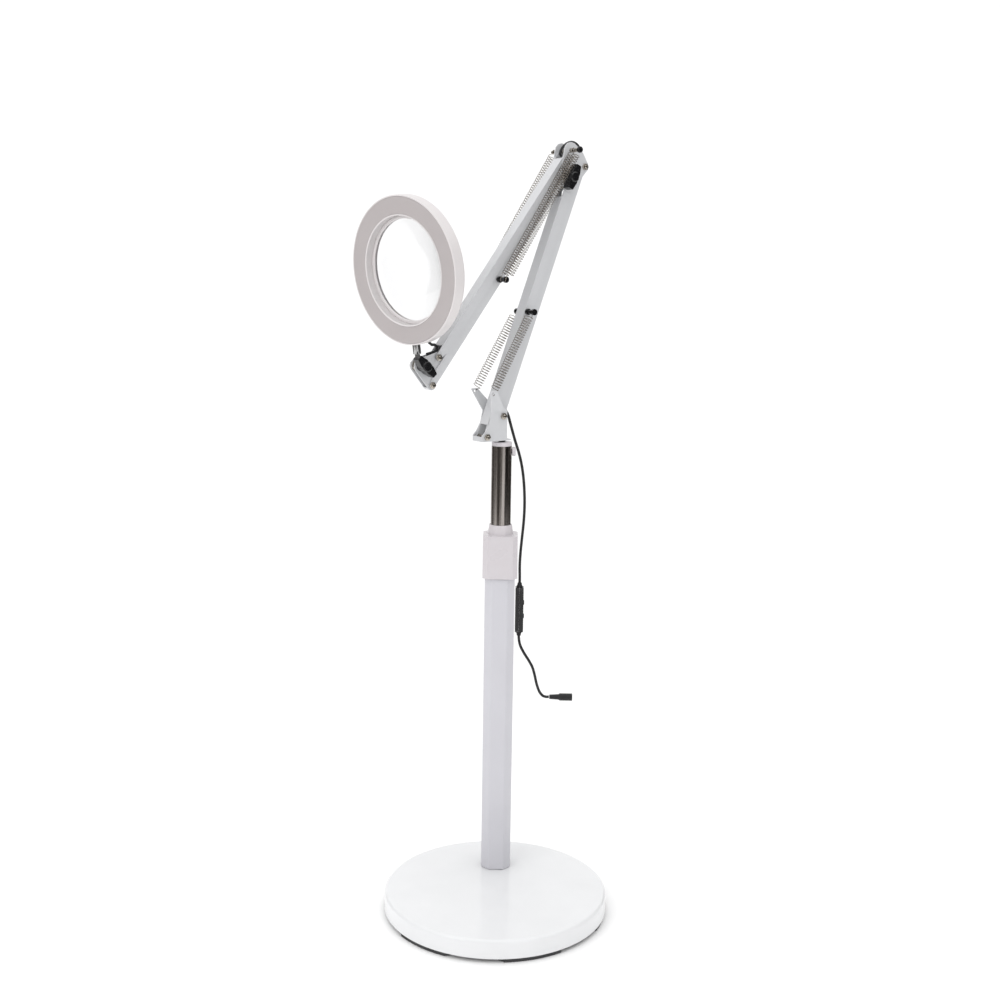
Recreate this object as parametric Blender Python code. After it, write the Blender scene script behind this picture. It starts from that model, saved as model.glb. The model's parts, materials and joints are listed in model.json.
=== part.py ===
"""Magnifying lamp on a weighted floor base.

The stand is a disc base with a chamfered square pole and a sliding inner tube. The arm has two stages,
each a pair of nested channel bars that keep the elbow and the head level, with coil springs beside them.
The head is a ring light around a lens. The head reaches out towards -X and the arm folds in the XZ plane.
The origin is on the floor, on the pole's axis, and +Z is up.
"""
import math

import bmesh
import bpy
from mathutils import Matrix, Vector

# Fits
GAP = 0.0003                    # between pieces that touch or rest on each other
RUNNING = 0.0003                # all round a shaft in its bore
SIDE_PLAY = 0.0004              # beside a piece that turns

# Stand
BASE_RADIUS = 0.140
BASE_HEIGHT = 0.028
BASE_WALL = 0.002
BASE_ROUNDING = 0.004
BASE_OFFSET = 0.066             # the disc's centre stands this far in front of the pole
FACING = math.radians(35)       # the base's front and the pole's flats, turned from -Y towards -X
MAT_THICKNESS = 0.004
MAT_SETBACK = 0.0015
MAT_NOTCH = 0.010
PAD_COUNT = 6
PAD_ANGLE = math.radians(35)
PAD_PHASE = math.radians(-38)
WEIGHT_HEIGHT = 0.011
WEIGHT_SETBACK = 0.006
POLE_WIDTH = 0.038
POLE_FLAT = 0.0194
POLE_WALL = 0.0025
POLE_TOP = 0.4169
FOOT_PLUG_HEIGHT = 0.030
POLE_BOLT_RADIUS = 0.005
POLE_BOLT_HEAD = (0.009, 0.0045)        # radius, height
BUSH_BELOW = 0.036
BUSH_ABOVE = 0.030
COLLAR_WIDTH = 0.0435
COLLAR_FLAT = 0.0317
COLLAR_HEIGHT = 0.0544
COLLAR_FLARE = 0.0006
COLLAR_RING = (0.0162, 0.0143, 0.0126)  # lower radius, upper radius, height

# Sliding tube and swivel
TUBE_RADIUS = 0.0127
TUBE_WALL = 0.0012
TUBE_BOTTOM = 0.170
TUBE_TOP = 0.5836
CAP_HEIGHT = 0.0050
CAP_PLUG = 0.022
SWIVEL_RADIUS = 0.004
SWIVEL_WASHER = (0.0046, 0.0019)        # radius, height
SWIVEL_HEAD = (0.0065, 0.0026)
SWIVEL_DEPTH = 0.030
LOCK_SCREW_HEIGHT = TUBE_TOP - 0.0070
LOCK_SCREW_RADIUS = 0.0025
LOCK_KNOB = (0.0058, 0.0046)            # radius, length

# Arm: pivots in the XZ plane
LOWER_PIVOT = (-0.0295, TUBE_TOP + 0.0133)         # front bar, at the base bracket
LOWER_SPACING = (0.0240, 0.0250)        # from the front bar's pivots to the rear bar's
LOWER_LENGTH = 0.3285
LOWER_LEAN = math.radians(21.09)        # from upright, away from the head
UPPER_PIVOT_FROM_ELBOW = (-0.0055, 0.0103)  # from the lower front bar's top pivot to the upper rear bar's
UPPER_SPACING = (0.0076, 0.0330)        # from the rear bar's pivots to the front bar's
UPPER_LENGTH = 0.3146
UPPER_SLOPE = math.radians(37.22)       # from straight down, towards the head
BAR_WALL = 0.0012
BAR_END = 0.0037                        # radius of a bar's end round its pivot
BAR_TAPER = 0.016                       # the web stops this far from a pivot
WEB_OFFSET = 0.0040                     # from the pivot line to the outside of the web
OUTER_BAR = (0.0085, 0.0075)            # half width, from the pivot line to the open edge
INNER_BAR = (0.0069, 0.0070)
PIN_RADIUS = 0.0025
PIN_HEAD = (0.0040, 0.0022)             # radius, thickness
PIN_FOOT = (0.0036, 0.0012)

# Brackets
PLATE_THICKNESS = 0.0015
BRACKET_FRONT = -0.0370
BRACKET_REAR = 0.0004
BRACKET_TONGUE = 0.0068
BRACKET_NECK = -0.0230
BRACKET_BEND = TUBE_TOP + 0.0444                   # the wings bend outwards above this height
BRACKET_LIP = TUBE_TOP + 0.0139                    # top of the front wall
WING_TIP = (-0.0284, TUBE_TOP + 0.0679)            # the hole that a lower spring hooks into
WING_SPREAD = 0.0200
HOOK_HOLE = 0.0016
ELBOW_CORNER = ((0.0113, -0.0067), 0.0090)  # from the spring post to the plate's round corner, and its radius
ELBOW_RADII = (0.0070, 0.0062, 0.0080, 0.0103)  # round the two lower pivots, the knob and the spring post
HEAD_BRACKET_HALF = 0.0053
HEAD_BRACKET_RADII = (0.0090, 0.0060, 0.0060)   # round the head's pivot, the rear bar's and the front bar's

# Springs and what they hook on
LOWER_SPRING_RADIUS = 0.0058
UPPER_SPRING_RADIUS = 0.0050
SPRING_STUB = 0.0009
LOWER_PIN_AT = 0.1635                   # along the lower front bar
UPPER_PIN_AT = 0.1585                   # along the upper rear bar
UPPER_PIN_RISE = 0.0015                 # above that bar's pivot line
SPRING_PIN_RADIUS = 0.0020
SPOOL_FLANGE = (0.0039, 0.0032)         # radius, thickness
SPOOL_HUB = 0.0028
SPOOL_LENGTH = 0.0157
FAR_CAP_LENGTHS = (0.0060, 0.0140)      # lower stage, upper stage
LOWER_SPRING_SIDES = (0.0168, 0.0149)   # near, far
UPPER_SPRING_SIDES = (0.0157, 0.0240)
SPRING_END = 0.012                      # the coils start this far from a pin
STUB_END = 0.0048
POST_NEAR = 0.0260
POST_FAR = 0.0280
POST_CAP = (0.0040, 0.0034)             # radius, length

# Wing knobs
KNOB_HUB = 0.0064
KNOB_LENGTH = 0.0150
WING_REACH = 0.0155
WING_ROOT = 0.0056                      # half thickness beside the hub
WING_END = 0.0032                       # half thickness at the end
ELBOW_BOSS = (0.0060, 0.0034)           # radius, length
ELBOW_KNOB_ANGLE = math.radians(23.5)   # the wings, from upright
HEAD_KNOB_ANGLE = math.radians(-45)

# Head
HEAD_PIVOT_FROM_BAR = (-0.01491, 0.02333)    # from the upper rear bar's end to the head's pivot
HEAD_TILT = math.radians(7.6)           # the stem leans towards the head's face
HEAD_YAW = math.radians(11.9)           # the ring is turned towards -Y
STEM_RADIUS = 0.0048
STEM_NECK = 0.0031
STEM_START = 0.0140                     # above the head's pivot
KNUCKLE_RADIUS = 0.0071
KNUCKLE_HALF = 0.0034
KNUCKLE_TOP = 0.0112
BORE_START = 0.0045
RING_RADIUS = 0.0867
STEM_TO_CENTRE = RING_RADIUS + 0.0256
RING_DEPTH = 0.018
RING_ROUNDING = 0.006
RING_WALL = 0.0018
OPENING_RADIUS = 0.0630
LENS_LIP = OPENING_RADIUS - 0.0040
LIP_THICKNESS = 0.0016
LENS_EDGE = 0.0029
LENS_CURVE_RADIUS = 0.346
RETAINER_THICKNESS = 0.0022
DIFFUSER_THICKNESS = 0.0020
BOARD = (OPENING_RADIUS + 0.0050, RING_RADIUS - 0.0057, 0.0016)        # inner radius, outer radius, thickness
PIVOT_DISC = (0.0075, 0.0035)           # radius, thickness

# Leads and cord
CORD_DIAMETER = 0.0036
CORD_STEP = 0.008
ELBOW_LEAD = (                          # from the lower front bar's top pivot
    (-0.0057, 0.0, 0.0361), (-0.0072, 0.0, 0.0406), (-0.0037, 0.0, 0.0471), (0.0043, 0.0, 0.0531),
    (0.0128, 0.0, 0.0546), (0.0203, 0.0, 0.0511), (0.0248, 0.0, 0.0436), (0.0253, 0.0, 0.0356),
)
HEAD_LEAD_HEIGHT = 0.0340                # from the head's pivot up to where the lead meets the ring's back
HEAD_LEAD = (                           # from the head's pivot
    (0.0135, 0.0018, 0.0295), (0.0175, 0.0008, 0.0247), (0.0230, 0.0, 0.0241), (0.0262, 0.0, 0.0203),
    (0.0230, 0.0, 0.0165), (0.0170, 0.0, 0.0147), (0.0110, 0.0, 0.0133),
)
UPPER_CORD = (
    (0.0042, 0.0008, 0.6290), (0.0105, 0.0024, 0.6215), (0.0160, 0.0033, 0.6075), (0.0226, 0.0038, 0.5895),
    (0.0295, 0.0040, 0.5720), (0.0347, 0.0044, 0.5550), (0.0384, 0.0051, 0.5370), (0.0408, 0.0060, 0.5180),
    (0.0418, 0.0068, 0.4990), (0.0416, 0.0079, 0.4800), (0.0405, 0.0092, 0.4610), (0.0394, 0.0102, 0.4430),
    (0.0388, 0.0108, 0.4250), (0.0390, 0.0106, 0.4080), (0.0390, 0.0106, 0.3960),
)
LOWER_CORD = (
    (0.0390, 0.0106, 0.3360), (0.0390, 0.0106, 0.3290), (0.0405, 0.0095, 0.3180), (0.0450, 0.0064, 0.3070),
    (0.0500, 0.0029, 0.2975), (0.0542, -0.0001, 0.2880), (0.0568, -0.0019, 0.2775), (0.0590, -0.0034, 0.2660),
    (0.0622, -0.0057, 0.2550), (0.0670, -0.0090, 0.2484), (0.0726, -0.0130, 0.2480),
)
CONTROLLER_CENTRE = (0.0390, 0.0106)
CONTROLLER_SIZE = (0.0106, 0.0170, 0.0590)      # thickness, width, height
CONTROLLER_WALL = 0.0014
CONTROLLER_BOTTOM = 0.3365
BUTTON_RADIUS = 0.0032
BUTTON_PROUD = 0.0010
BUTTON_HEIGHT = 0.0024
BUTTON_SPACING = 0.0180
SOCKET_START = (0.0730, -0.0133, 0.2480)
SOCKET_PROFILE = ((0.0030, 0.0), (0.0038, 0.0125), (0.0049, 0.0135), (0.0049, 0.0300), (0.0027, 0.0300),
                  (0.0027, 0.0195), (0.0, 0.0195), (0.0, 0.0))

SIDES = 28
SMALL_SIDES = 12
RING_SIDES = 56

# Worked out from the sizes above
Y_AXIS = Vector((0, 1, 0))
Z_AXIS = Vector((0, 0, 1))
FRONT = Vector((-math.sin(FACING), -math.cos(FACING), 0))
SIDEWAYS = Vector((math.cos(FACING), -math.sin(FACING), 0))
FLATS = Matrix.Rotation(-FACING, 4, "Z")
BASE_CENTRE = FRONT * BASE_OFFSET
COLLAR_BOTTOM = POLE_TOP + GAP
COLLAR_BODY_TOP = COLLAR_BOTTOM + COLLAR_HEIGHT
COLLAR_TOP = COLLAR_BODY_TOP + COLLAR_RING[2]
POLE_BORE = POLE_WIDTH / 2 - POLE_WALL
CAP_TOP = TUBE_TOP + GAP + CAP_HEIGHT
BRACKET_BOTTOM = CAP_TOP + SWIVEL_WASHER[1] + 2 * GAP
CHEEK_INSIDE = OUTER_BAR[0] + SIDE_PLAY
CHEEK_OUTSIDE = CHEEK_INSIDE + PLATE_THICKNESS


def in_plane(x, z, y=0.0):
    return Vector((x, y, z))


LOWER_ALONG = in_plane(math.sin(LOWER_LEAN), math.cos(LOWER_LEAN))
UPPER_ALONG = in_plane(-math.sin(UPPER_SLOPE), -math.cos(UPPER_SLOPE))
LOWER_FRONT_FOOT = in_plane(*LOWER_PIVOT)
LOWER_REAR_FOOT = LOWER_FRONT_FOOT + in_plane(*LOWER_SPACING)
LOWER_FRONT_TOP = LOWER_FRONT_FOOT + LOWER_ALONG * LOWER_LENGTH
LOWER_REAR_TOP = LOWER_REAR_FOOT + LOWER_ALONG * LOWER_LENGTH
UPPER_REAR_TOP = LOWER_FRONT_TOP + in_plane(*UPPER_PIVOT_FROM_ELBOW)
UPPER_FRONT_TOP = UPPER_REAR_TOP + in_plane(*UPPER_SPACING)
UPPER_REAR_END = UPPER_REAR_TOP + UPPER_ALONG * UPPER_LENGTH
UPPER_FRONT_END = UPPER_FRONT_TOP + UPPER_ALONG * UPPER_LENGTH
UPPER_RISE = in_plane(-math.cos(UPPER_SLOPE), math.sin(UPPER_SLOPE))
LOWER_SPRING_PIN = LOWER_FRONT_FOOT + LOWER_ALONG * LOWER_PIN_AT
UPPER_SPRING_PIN = UPPER_REAR_TOP + UPPER_ALONG * UPPER_PIN_AT + UPPER_RISE * UPPER_PIN_RISE
HEAD_AXIS = UPPER_REAR_END + in_plane(*HEAD_PIVOT_FROM_BAR)
STEM_UP = in_plane(-math.sin(HEAD_TILT), math.cos(HEAD_TILT))
RING_BACK = Matrix.Rotation(HEAD_YAW, 3, STEM_UP) @ in_plane(math.cos(HEAD_TILT), math.sin(HEAD_TILT))
RING_FACE = HEAD_AXIS + STEM_UP * STEM_TO_CENTRE - RING_BACK * (RING_DEPTH / 2)


# Modelling helpers

def material(name, colour, roughness, metallic=0.0, alpha=1.0):
    found = bpy.data.materials.get(name)
    if found:
        return found
    made = bpy.data.materials.new(name)
    made.use_nodes = True
    shader = made.node_tree.nodes["Principled BSDF"]
    shader.inputs["Base Color"].default_value = (*colour, 1.0)
    shader.inputs["Roughness"].default_value = roughness
    shader.inputs["Metallic"].default_value = metallic
    shader.inputs["Alpha"].default_value = alpha
    return made


def white_paint():
    return material("white_paint", (0.86, 0.87, 0.88), 0.35)


def chrome():
    return material("chrome", (0.62, 0.60, 0.58), 0.12, 1.0)


def steel():
    return material("steel", (0.60, 0.58, 0.55), 0.30, 1.0)


def cast_iron():
    return material("cast_iron", (0.18, 0.18, 0.19), 0.60, 1.0)


def black_plastic():
    return material("black_plastic", (0.02, 0.02, 0.022), 0.45)


def white_plastic():
    return material("white_plastic", (0.84, 0.82, 0.81), 0.30)


def grey_plastic():
    return material("grey_plastic", (0.66, 0.64, 0.65), 0.35)


def rubber():
    return material("rubber", (0.03, 0.03, 0.03), 0.80)


def new_object(name, mesh, finish, origin=None):
    """Add a mesh to the scene, with its origin moved to the given point."""
    if origin is not None:
        mesh.transform(Matrix.Translation(-origin))
    made = bpy.data.objects.new(name, mesh)
    if origin is not None:
        made.location = origin
    bpy.context.scene.collection.objects.link(made)
    if finish is not None:
        mesh.materials.append(finish)
    mesh.shade_smooth()
    mesh.set_sharp_from_angle(angle=math.radians(35))
    return made


def mesh_from(bm, name):
    bmesh.ops.remove_doubles(bm, verts=bm.verts, dist=1e-7)
    bmesh.ops.recalc_face_normals(bm, faces=bm.faces)
    mesh = bpy.data.meshes.new(name)
    bm.to_mesh(mesh)
    bm.free()
    return mesh


def move(mesh, place):
    """Move a mesh, and keep its faces out where the move mirrors it."""
    mesh.transform(place)
    if place.determinant() < 0:
        mesh.flip_normals()


def frame_on(point, axis):
    """A matrix whose Z runs along an axis through a point."""
    turn = Vector(axis).normalized().to_track_quat("Z", "Y")
    return Matrix.Translation(Vector(point)) @ turn.to_matrix().to_4x4()


def turned_mesh(name, profile, point, axis, sides=SIDES):
    """Turn a closed profile of (radius, height) pairs round an axis."""
    bm = bmesh.new()
    rings = []
    for step in range(sides):
        angle = 2 * math.pi * step / sides
        ring = [bm.verts.new((r * math.cos(angle), r * math.sin(angle), h)) for r, h in profile]
        rings.append(ring)
    for step, ring in enumerate(rings):
        following = rings[(step + 1) % sides]
        for index in range(len(profile)):
            after = (index + 1) % len(profile)
            if profile[index][0] or profile[after][0]:
                bm.faces.new((ring[index], ring[after], following[after], following[index]))
    bmesh.ops.remove_doubles(bm, verts=bm.verts, dist=1e-7)
    bmesh.ops.dissolve_degenerate(bm, edges=bm.edges, dist=1e-7)
    mesh = mesh_from(bm, name)
    mesh.transform(frame_on(point, axis))
    return mesh


def turned(name, profile, point, axis, finish, sides=SIDES, origin=None):
    mesh = turned_mesh(name, profile, point, axis, sides)
    return new_object(name, mesh, finish, Vector(point) if origin is None else origin)


def bar_profile(*steps):
    """A solid turned profile from (radius, from, to) steps that follow each other."""
    points = [(0.0, steps[0][1])]
    for radius, low, high in steps:
        points += [(radius, low), (radius, high)]
    points.append((0.0, steps[-1][2]))
    return points


def ring_profile(inner, outer, low, high):
    return [(inner, low), (outer, low), (outer, high), (inner, high)]


def extruded_mesh(name, outline, low, high, place):
    """Extrude a closed outline of (x, z) pairs from one Y to another, then move it into place."""
    bm = bmesh.new()
    near = [bm.verts.new((x, low, z)) for x, z in outline]
    far = [bm.verts.new((x, high, z)) for x, z in outline]
    bm.faces.new(near)
    bm.faces.new(list(reversed(far)))
    for index in range(len(outline)):
        after = (index + 1) % len(outline)
        bm.faces.new((near[index], near[after], far[after], far[index]))
    mesh = mesh_from(bm, name)
    move(mesh, place)
    return mesh


def extruded(name, outline, low, high, finish, place=Matrix(), origin=None):
    return new_object(name, extruded_mesh(name, outline, low, high, place), finish, origin)


def box_mesh(name, low, high, place=Matrix()):
    outline = ((low[0], low[2]), (high[0], low[2]), (high[0], high[2]), (low[0], high[2]))
    return extruded_mesh(name, outline, low[1], high[1], place)


def hull_outline(circles, step=math.radians(30)):
    """The outline of a band stretched round circles, each (x, z, radius)."""
    points = []
    count = round(2 * math.pi / step)
    for x, z, radius in circles:
        points += [(x + radius * math.cos(step * i), z + radius * math.sin(step * i)) for i in range(count)]
    points.sort()

    def half(ordered):
        chain = []
        for point in ordered:
            while len(chain) > 1 and not turns_left(chain[-2], chain[-1], point):
                chain.pop()
            chain.append(point)
        return chain[:-1]

    return half(points) + half(points[::-1])


def turns_left(first, second, third):
    across = (second[0] - first[0]) * (third[1] - first[1])
    up = (second[1] - first[1]) * (third[0] - first[0])
    return across - up > 1e-12


def combine(target, other_mesh, operation):
    """Join a mesh to an object, or cut it away, and hide the tool object."""
    tool = new_object(target.name + "." + operation.lower() + str(len(target.modifiers)), other_mesh, None)
    tool.hide_render = True
    tool.display_type = "WIRE"
    step = target.modifiers.new(operation.title(), "BOOLEAN")
    step.operation = operation
    step.object = tool
    return tool


def cut(target, *meshes):
    for mesh in meshes:
        combine(target, mesh, "DIFFERENCE")


def join(target, *meshes):
    for mesh in meshes:
        combine(target, mesh, "UNION")


def bore(radius, point, axis, low, high, sides=SMALL_SIDES):
    return turned_mesh("bore", bar_profile((radius, low, high)), point, axis, sides)


def chamfered_square(width, flat):
    half = width / 2
    run = flat / 2
    return ((run, half), (half, run), (half, -run), (run, -half),
            (-run, -half), (-half, -run), (-half, run), (-run, half))


def prism(name, sections, finish=None):
    """A lofted upright body from (outline, height) sections, its flats square to the base's front."""
    bm = bmesh.new()
    rings = [[bm.verts.new((x, y, height)) for x, y in outline] for outline, height in sections]
    bm.faces.new(rings[0])
    bm.faces.new(list(reversed(rings[-1])))
    for lower, upper in zip(rings, rings[1:]):
        for index in range(len(lower)):
            after = (index + 1) % len(lower)
            bm.faces.new((lower[index], lower[after], upper[after], upper[index]))
    mesh = mesh_from(bm, name)
    mesh.transform(FLATS)
    return new_object(name, mesh, finish) if finish else mesh


def smooth_route(points, step=CORD_STEP):
    """Evenly spaced points on a smooth curve through a route's own points."""
    ends = [2 * points[0] - points[1]] + list(points) + [2 * points[-1] - points[-2]]
    fine = []
    for before, start, finish, after in zip(ends, ends[1:], ends[2:], ends[3:]):
        for index in range(20):
            t = index / 20
            fine.append(0.5 * (2 * start + (finish - before) * t
                               + (2 * before - 5 * start + 4 * finish - after) * t ** 2
                               + (3 * start - before - 3 * finish + after) * t ** 3))
    fine.append(points[-1])
    travelled = [0.0]
    for first, second in zip(fine, fine[1:]):
        travelled.append(travelled[-1] + (second - first).length)
    count = max(2, round(travelled[-1] / step))
    route = []
    index = 0
    for number in range(count + 1):
        wanted = travelled[-1] * number / count
        while index < len(fine) - 2 and travelled[index + 1] < wanted:
            index += 1
        share = (wanted - travelled[index]) / (travelled[index + 1] - travelled[index])
        route.append(fine[index].lerp(fine[index + 1], min(share, 1.0)))
    return route


def cord(name, points, step=CORD_STEP):
    route = smooth_route([Vector(point) for point in points], step)
    curve = bpy.data.curves.new(name, "CURVE")
    curve.dimensions = "3D"
    curve.bevel_depth = CORD_DIAMETER / 2
    curve.bevel_resolution = 2
    curve.use_fill_caps = True
    spline = curve.splines.new("POLY")
    spline.points.add(len(route) - 1)
    for point, place in zip(spline.points, route):
        point.co = (*place, 1.0)
    curve.materials.append(rubber())
    made = bpy.data.objects.new(name, curve)
    bpy.context.scene.collection.objects.link(made)
    return made


# Stand

def build_anti_slip_mat():
    outline = []
    steps = 72
    for step in range(steps):
        angle = 2 * math.pi * step / steps
        from_pad = (angle - PAD_PHASE + math.pi / PAD_COUNT) % (2 * math.pi / PAD_COUNT) - math.pi / PAD_COUNT
        on_pad = abs(from_pad) < PAD_ANGLE / 2
        radius = BASE_RADIUS - MAT_SETBACK - (0.0 if on_pad else MAT_NOTCH)
        place = BASE_CENTRE + FRONT * radius * math.cos(angle) + SIDEWAYS * radius * math.sin(angle)
        outline.append((place.x, place.y))
    bm = bmesh.new()
    bottom = [bm.verts.new((x, y, 0)) for x, y in outline]
    face = bm.faces.new(bottom)
    grown = bmesh.ops.extrude_face_region(bm, geom=[face])
    raised = [item for item in grown["geom"] if isinstance(item, bmesh.types.BMVert)]
    bmesh.ops.translate(bm, verts=raised, vec=(0, 0, MAT_THICKNESS))
    return new_object("anti_slip_mat", mesh_from(bm, "anti_slip_mat"), rubber())


def build_base_weight():
    low = MAT_THICKNESS + GAP
    radius = BASE_RADIUS - WEIGHT_SETBACK
    profile = bar_profile((radius, low, low + WEIGHT_HEIGHT))
    weight = turned("base_weight", profile, BASE_CENTRE, Z_AXIS, cast_iron(), SIDES)
    hole = POLE_BOLT_RADIUS + RUNNING
    head = POLE_BOLT_HEAD[0] + 2 * GAP
    recess = POLE_BOLT_HEAD[1] + 2 * GAP
    stepped = bar_profile((head, 0.0, low + recess), (hole, low + recess, BASE_HEIGHT))
    cut(weight, turned_mesh("bolt_recess", stepped, (0, 0, 0), Z_AXIS, SMALL_SIDES))
    return weight


def build_base_cover():
    low = MAT_THICKNESS + GAP
    top = BASE_HEIGHT
    inner = BASE_RADIUS - BASE_WALL
    profile = [(0.0, top), (0.0, top - BASE_WALL), (inner - BASE_ROUNDING / 2, top - BASE_WALL),
               (inner, top - BASE_WALL - BASE_ROUNDING / 2), (inner, low), (BASE_RADIUS, low)]
    corner = 3
    for step in range(corner + 1):
        angle = math.pi / 2 * step / corner
        out = BASE_RADIUS - BASE_ROUNDING * (1 - math.cos(angle))
        profile.append((out, top - BASE_ROUNDING * (1 - math.sin(angle))))
    cover = turned("base_cover", profile, BASE_CENTRE, Z_AXIS, white_paint(), RING_SIDES)
    cut(cover, bore(POLE_BOLT_RADIUS + RUNNING, (0, 0, 0), Z_AXIS, BASE_HEIGHT / 2, BASE_HEIGHT * 2))
    return cover


def build_pole_bolt():
    low = MAT_THICKNESS + 2 * GAP
    shoulder = low + POLE_BOLT_HEAD[1]
    top = BASE_HEIGHT + FOOT_PLUG_HEIGHT * 0.8
    profile = bar_profile((POLE_BOLT_HEAD[0], low, shoulder), (POLE_BOLT_RADIUS, shoulder, top))
    return turned("pole_bolt", profile, (0, 0, 0), Z_AXIS, steel(), SMALL_SIDES)


def pole_section(inset):
    slope = math.tan(math.radians(22.5))
    return chamfered_square(POLE_WIDTH - 2 * inset, POLE_FLAT - 2 * inset * slope)


def build_pole_foot_plug():
    low = BASE_HEIGHT + GAP
    section = pole_section(POLE_WALL + GAP)
    plug = prism("pole_foot_plug", ((section, low), (section, low + FOOT_PLUG_HEIGHT)), black_plastic())
    cut(plug, bore(POLE_BOLT_RADIUS + RUNNING, (0, 0, 0), Z_AXIS, low / 2, low + 2 * FOOT_PLUG_HEIGHT))
    return plug


def build_pole():
    low = BASE_HEIGHT + GAP
    section = pole_section(0)
    pole = prism("pole", ((section, low), (section, POLE_TOP)), white_paint())
    inside = pole_section(POLE_WALL)
    cut(pole, prism("pole_inside", ((inside, low / 2), (inside, POLE_TOP * 2))))
    return pole


def build_pole_bush():
    low = POLE_TOP - BUSH_BELOW
    high = COLLAR_BOTTOM + BUSH_ABOVE
    outer = POLE_BORE - GAP
    slim = TUBE_RADIUS + RUNNING + (outer - TUBE_RADIUS) / 2
    taper_start = high - BUSH_ABOVE / 3
    inner = TUBE_RADIUS + RUNNING
    profile = [(inner, low), (outer, low), (outer, taper_start), (slim, high), (inner, high)]
    return turned("pole_bush", profile, (0, 0, 0), Z_AXIS, black_plastic())


def build_lock_collar():
    wide = chamfered_square(COLLAR_WIDTH + COLLAR_FLARE, COLLAR_FLAT + COLLAR_FLARE)
    slim = chamfered_square(COLLAR_WIDTH, COLLAR_FLAT)
    sections = ((wide, COLLAR_BOTTOM), (slim, COLLAR_BODY_TOP))
    collar = prism("lock_collar", sections, grey_plastic())
    root = COLLAR_BODY_TOP - COLLAR_RING[2] / 3
    ring = [(0.0, root), (COLLAR_RING[0], root), (COLLAR_RING[0], COLLAR_BODY_TOP),
            (COLLAR_RING[1], COLLAR_TOP), (0.0, COLLAR_TOP)]
    join(collar, turned_mesh("collar_ring", ring, (0, 0, 0), Z_AXIS))
    socket = COLLAR_BOTTOM + BUSH_ABOVE + GAP
    inside = bar_profile((POLE_BORE, POLE_TOP / 2, socket), (TUBE_RADIUS + RUNNING, socket, COLLAR_TOP * 2))
    cut(collar, turned_mesh("collar_bore", inside, (0, 0, 0), Z_AXIS))
    return collar


# Sliding tube and swivel

def lock_screw_point(radius):
    return SIDEWAYS * radius + Z_AXIS * LOCK_SCREW_HEIGHT


def lock_screw_hole():
    return bore(LOCK_SCREW_RADIUS + RUNNING, lock_screw_point(0), SIDEWAYS, 0.0, TUBE_RADIUS * 2)


def build_inner_tube():
    profile = ring_profile(TUBE_RADIUS - TUBE_WALL, TUBE_RADIUS, TUBE_BOTTOM, TUBE_TOP)
    tube = turned("inner_tube", profile, (0, 0, 0), Z_AXIS, chrome())
    cut(tube, lock_screw_hole())
    return tube


def build_tube_cap():
    inside = TUBE_RADIUS - TUBE_WALL - GAP
    hole = SWIVEL_RADIUS + RUNNING
    low = TUBE_TOP - CAP_PLUG
    under = TUBE_TOP + GAP
    rim = CAP_HEIGHT / 6
    profile = [(hole, low), (inside, low), (inside, under), (TUBE_RADIUS, under),
               (TUBE_RADIUS, CAP_TOP - rim), (TUBE_RADIUS - rim, CAP_TOP), (hole, CAP_TOP)]
    cap = turned("tube_cap", profile, (0, 0, 0), Z_AXIS, white_plastic())
    cut(cap, lock_screw_hole())
    return cap


def build_tube_lock_screw():
    tip = SWIVEL_RADIUS + GAP
    start = TUBE_RADIUS + GAP
    radius, length = LOCK_KNOB
    edge = length / 6
    profile = [(0.0, tip), (LOCK_SCREW_RADIUS, tip), (LOCK_SCREW_RADIUS, start), (radius - edge, start),
               (radius, start + edge), (radius, start + length - edge), (radius - edge, start + length),
               (0.0, start + length)]
    return turned("tube_lock_screw", profile, lock_screw_point(0), SIDEWAYS, grey_plastic(), SMALL_SIDES)


def build_swivel_pin():
    low = CAP_TOP - SWIVEL_DEPTH
    washer_low = CAP_TOP + GAP
    washer_high = washer_low + SWIVEL_WASHER[1]
    head_low = BRACKET_BOTTOM + PLATE_THICKNESS + GAP
    profile = bar_profile((SWIVEL_RADIUS, low, washer_low), (SWIVEL_WASHER[0], washer_low, washer_high),
                          (SWIVEL_RADIUS, washer_high, head_low),
                          (SWIVEL_HEAD[0], head_low, head_low + SWIVEL_HEAD[1]))
    return turned("swivel_pin", profile, (0, 0, 0), Z_AXIS, black_plastic(), SMALL_SIDES)


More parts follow.
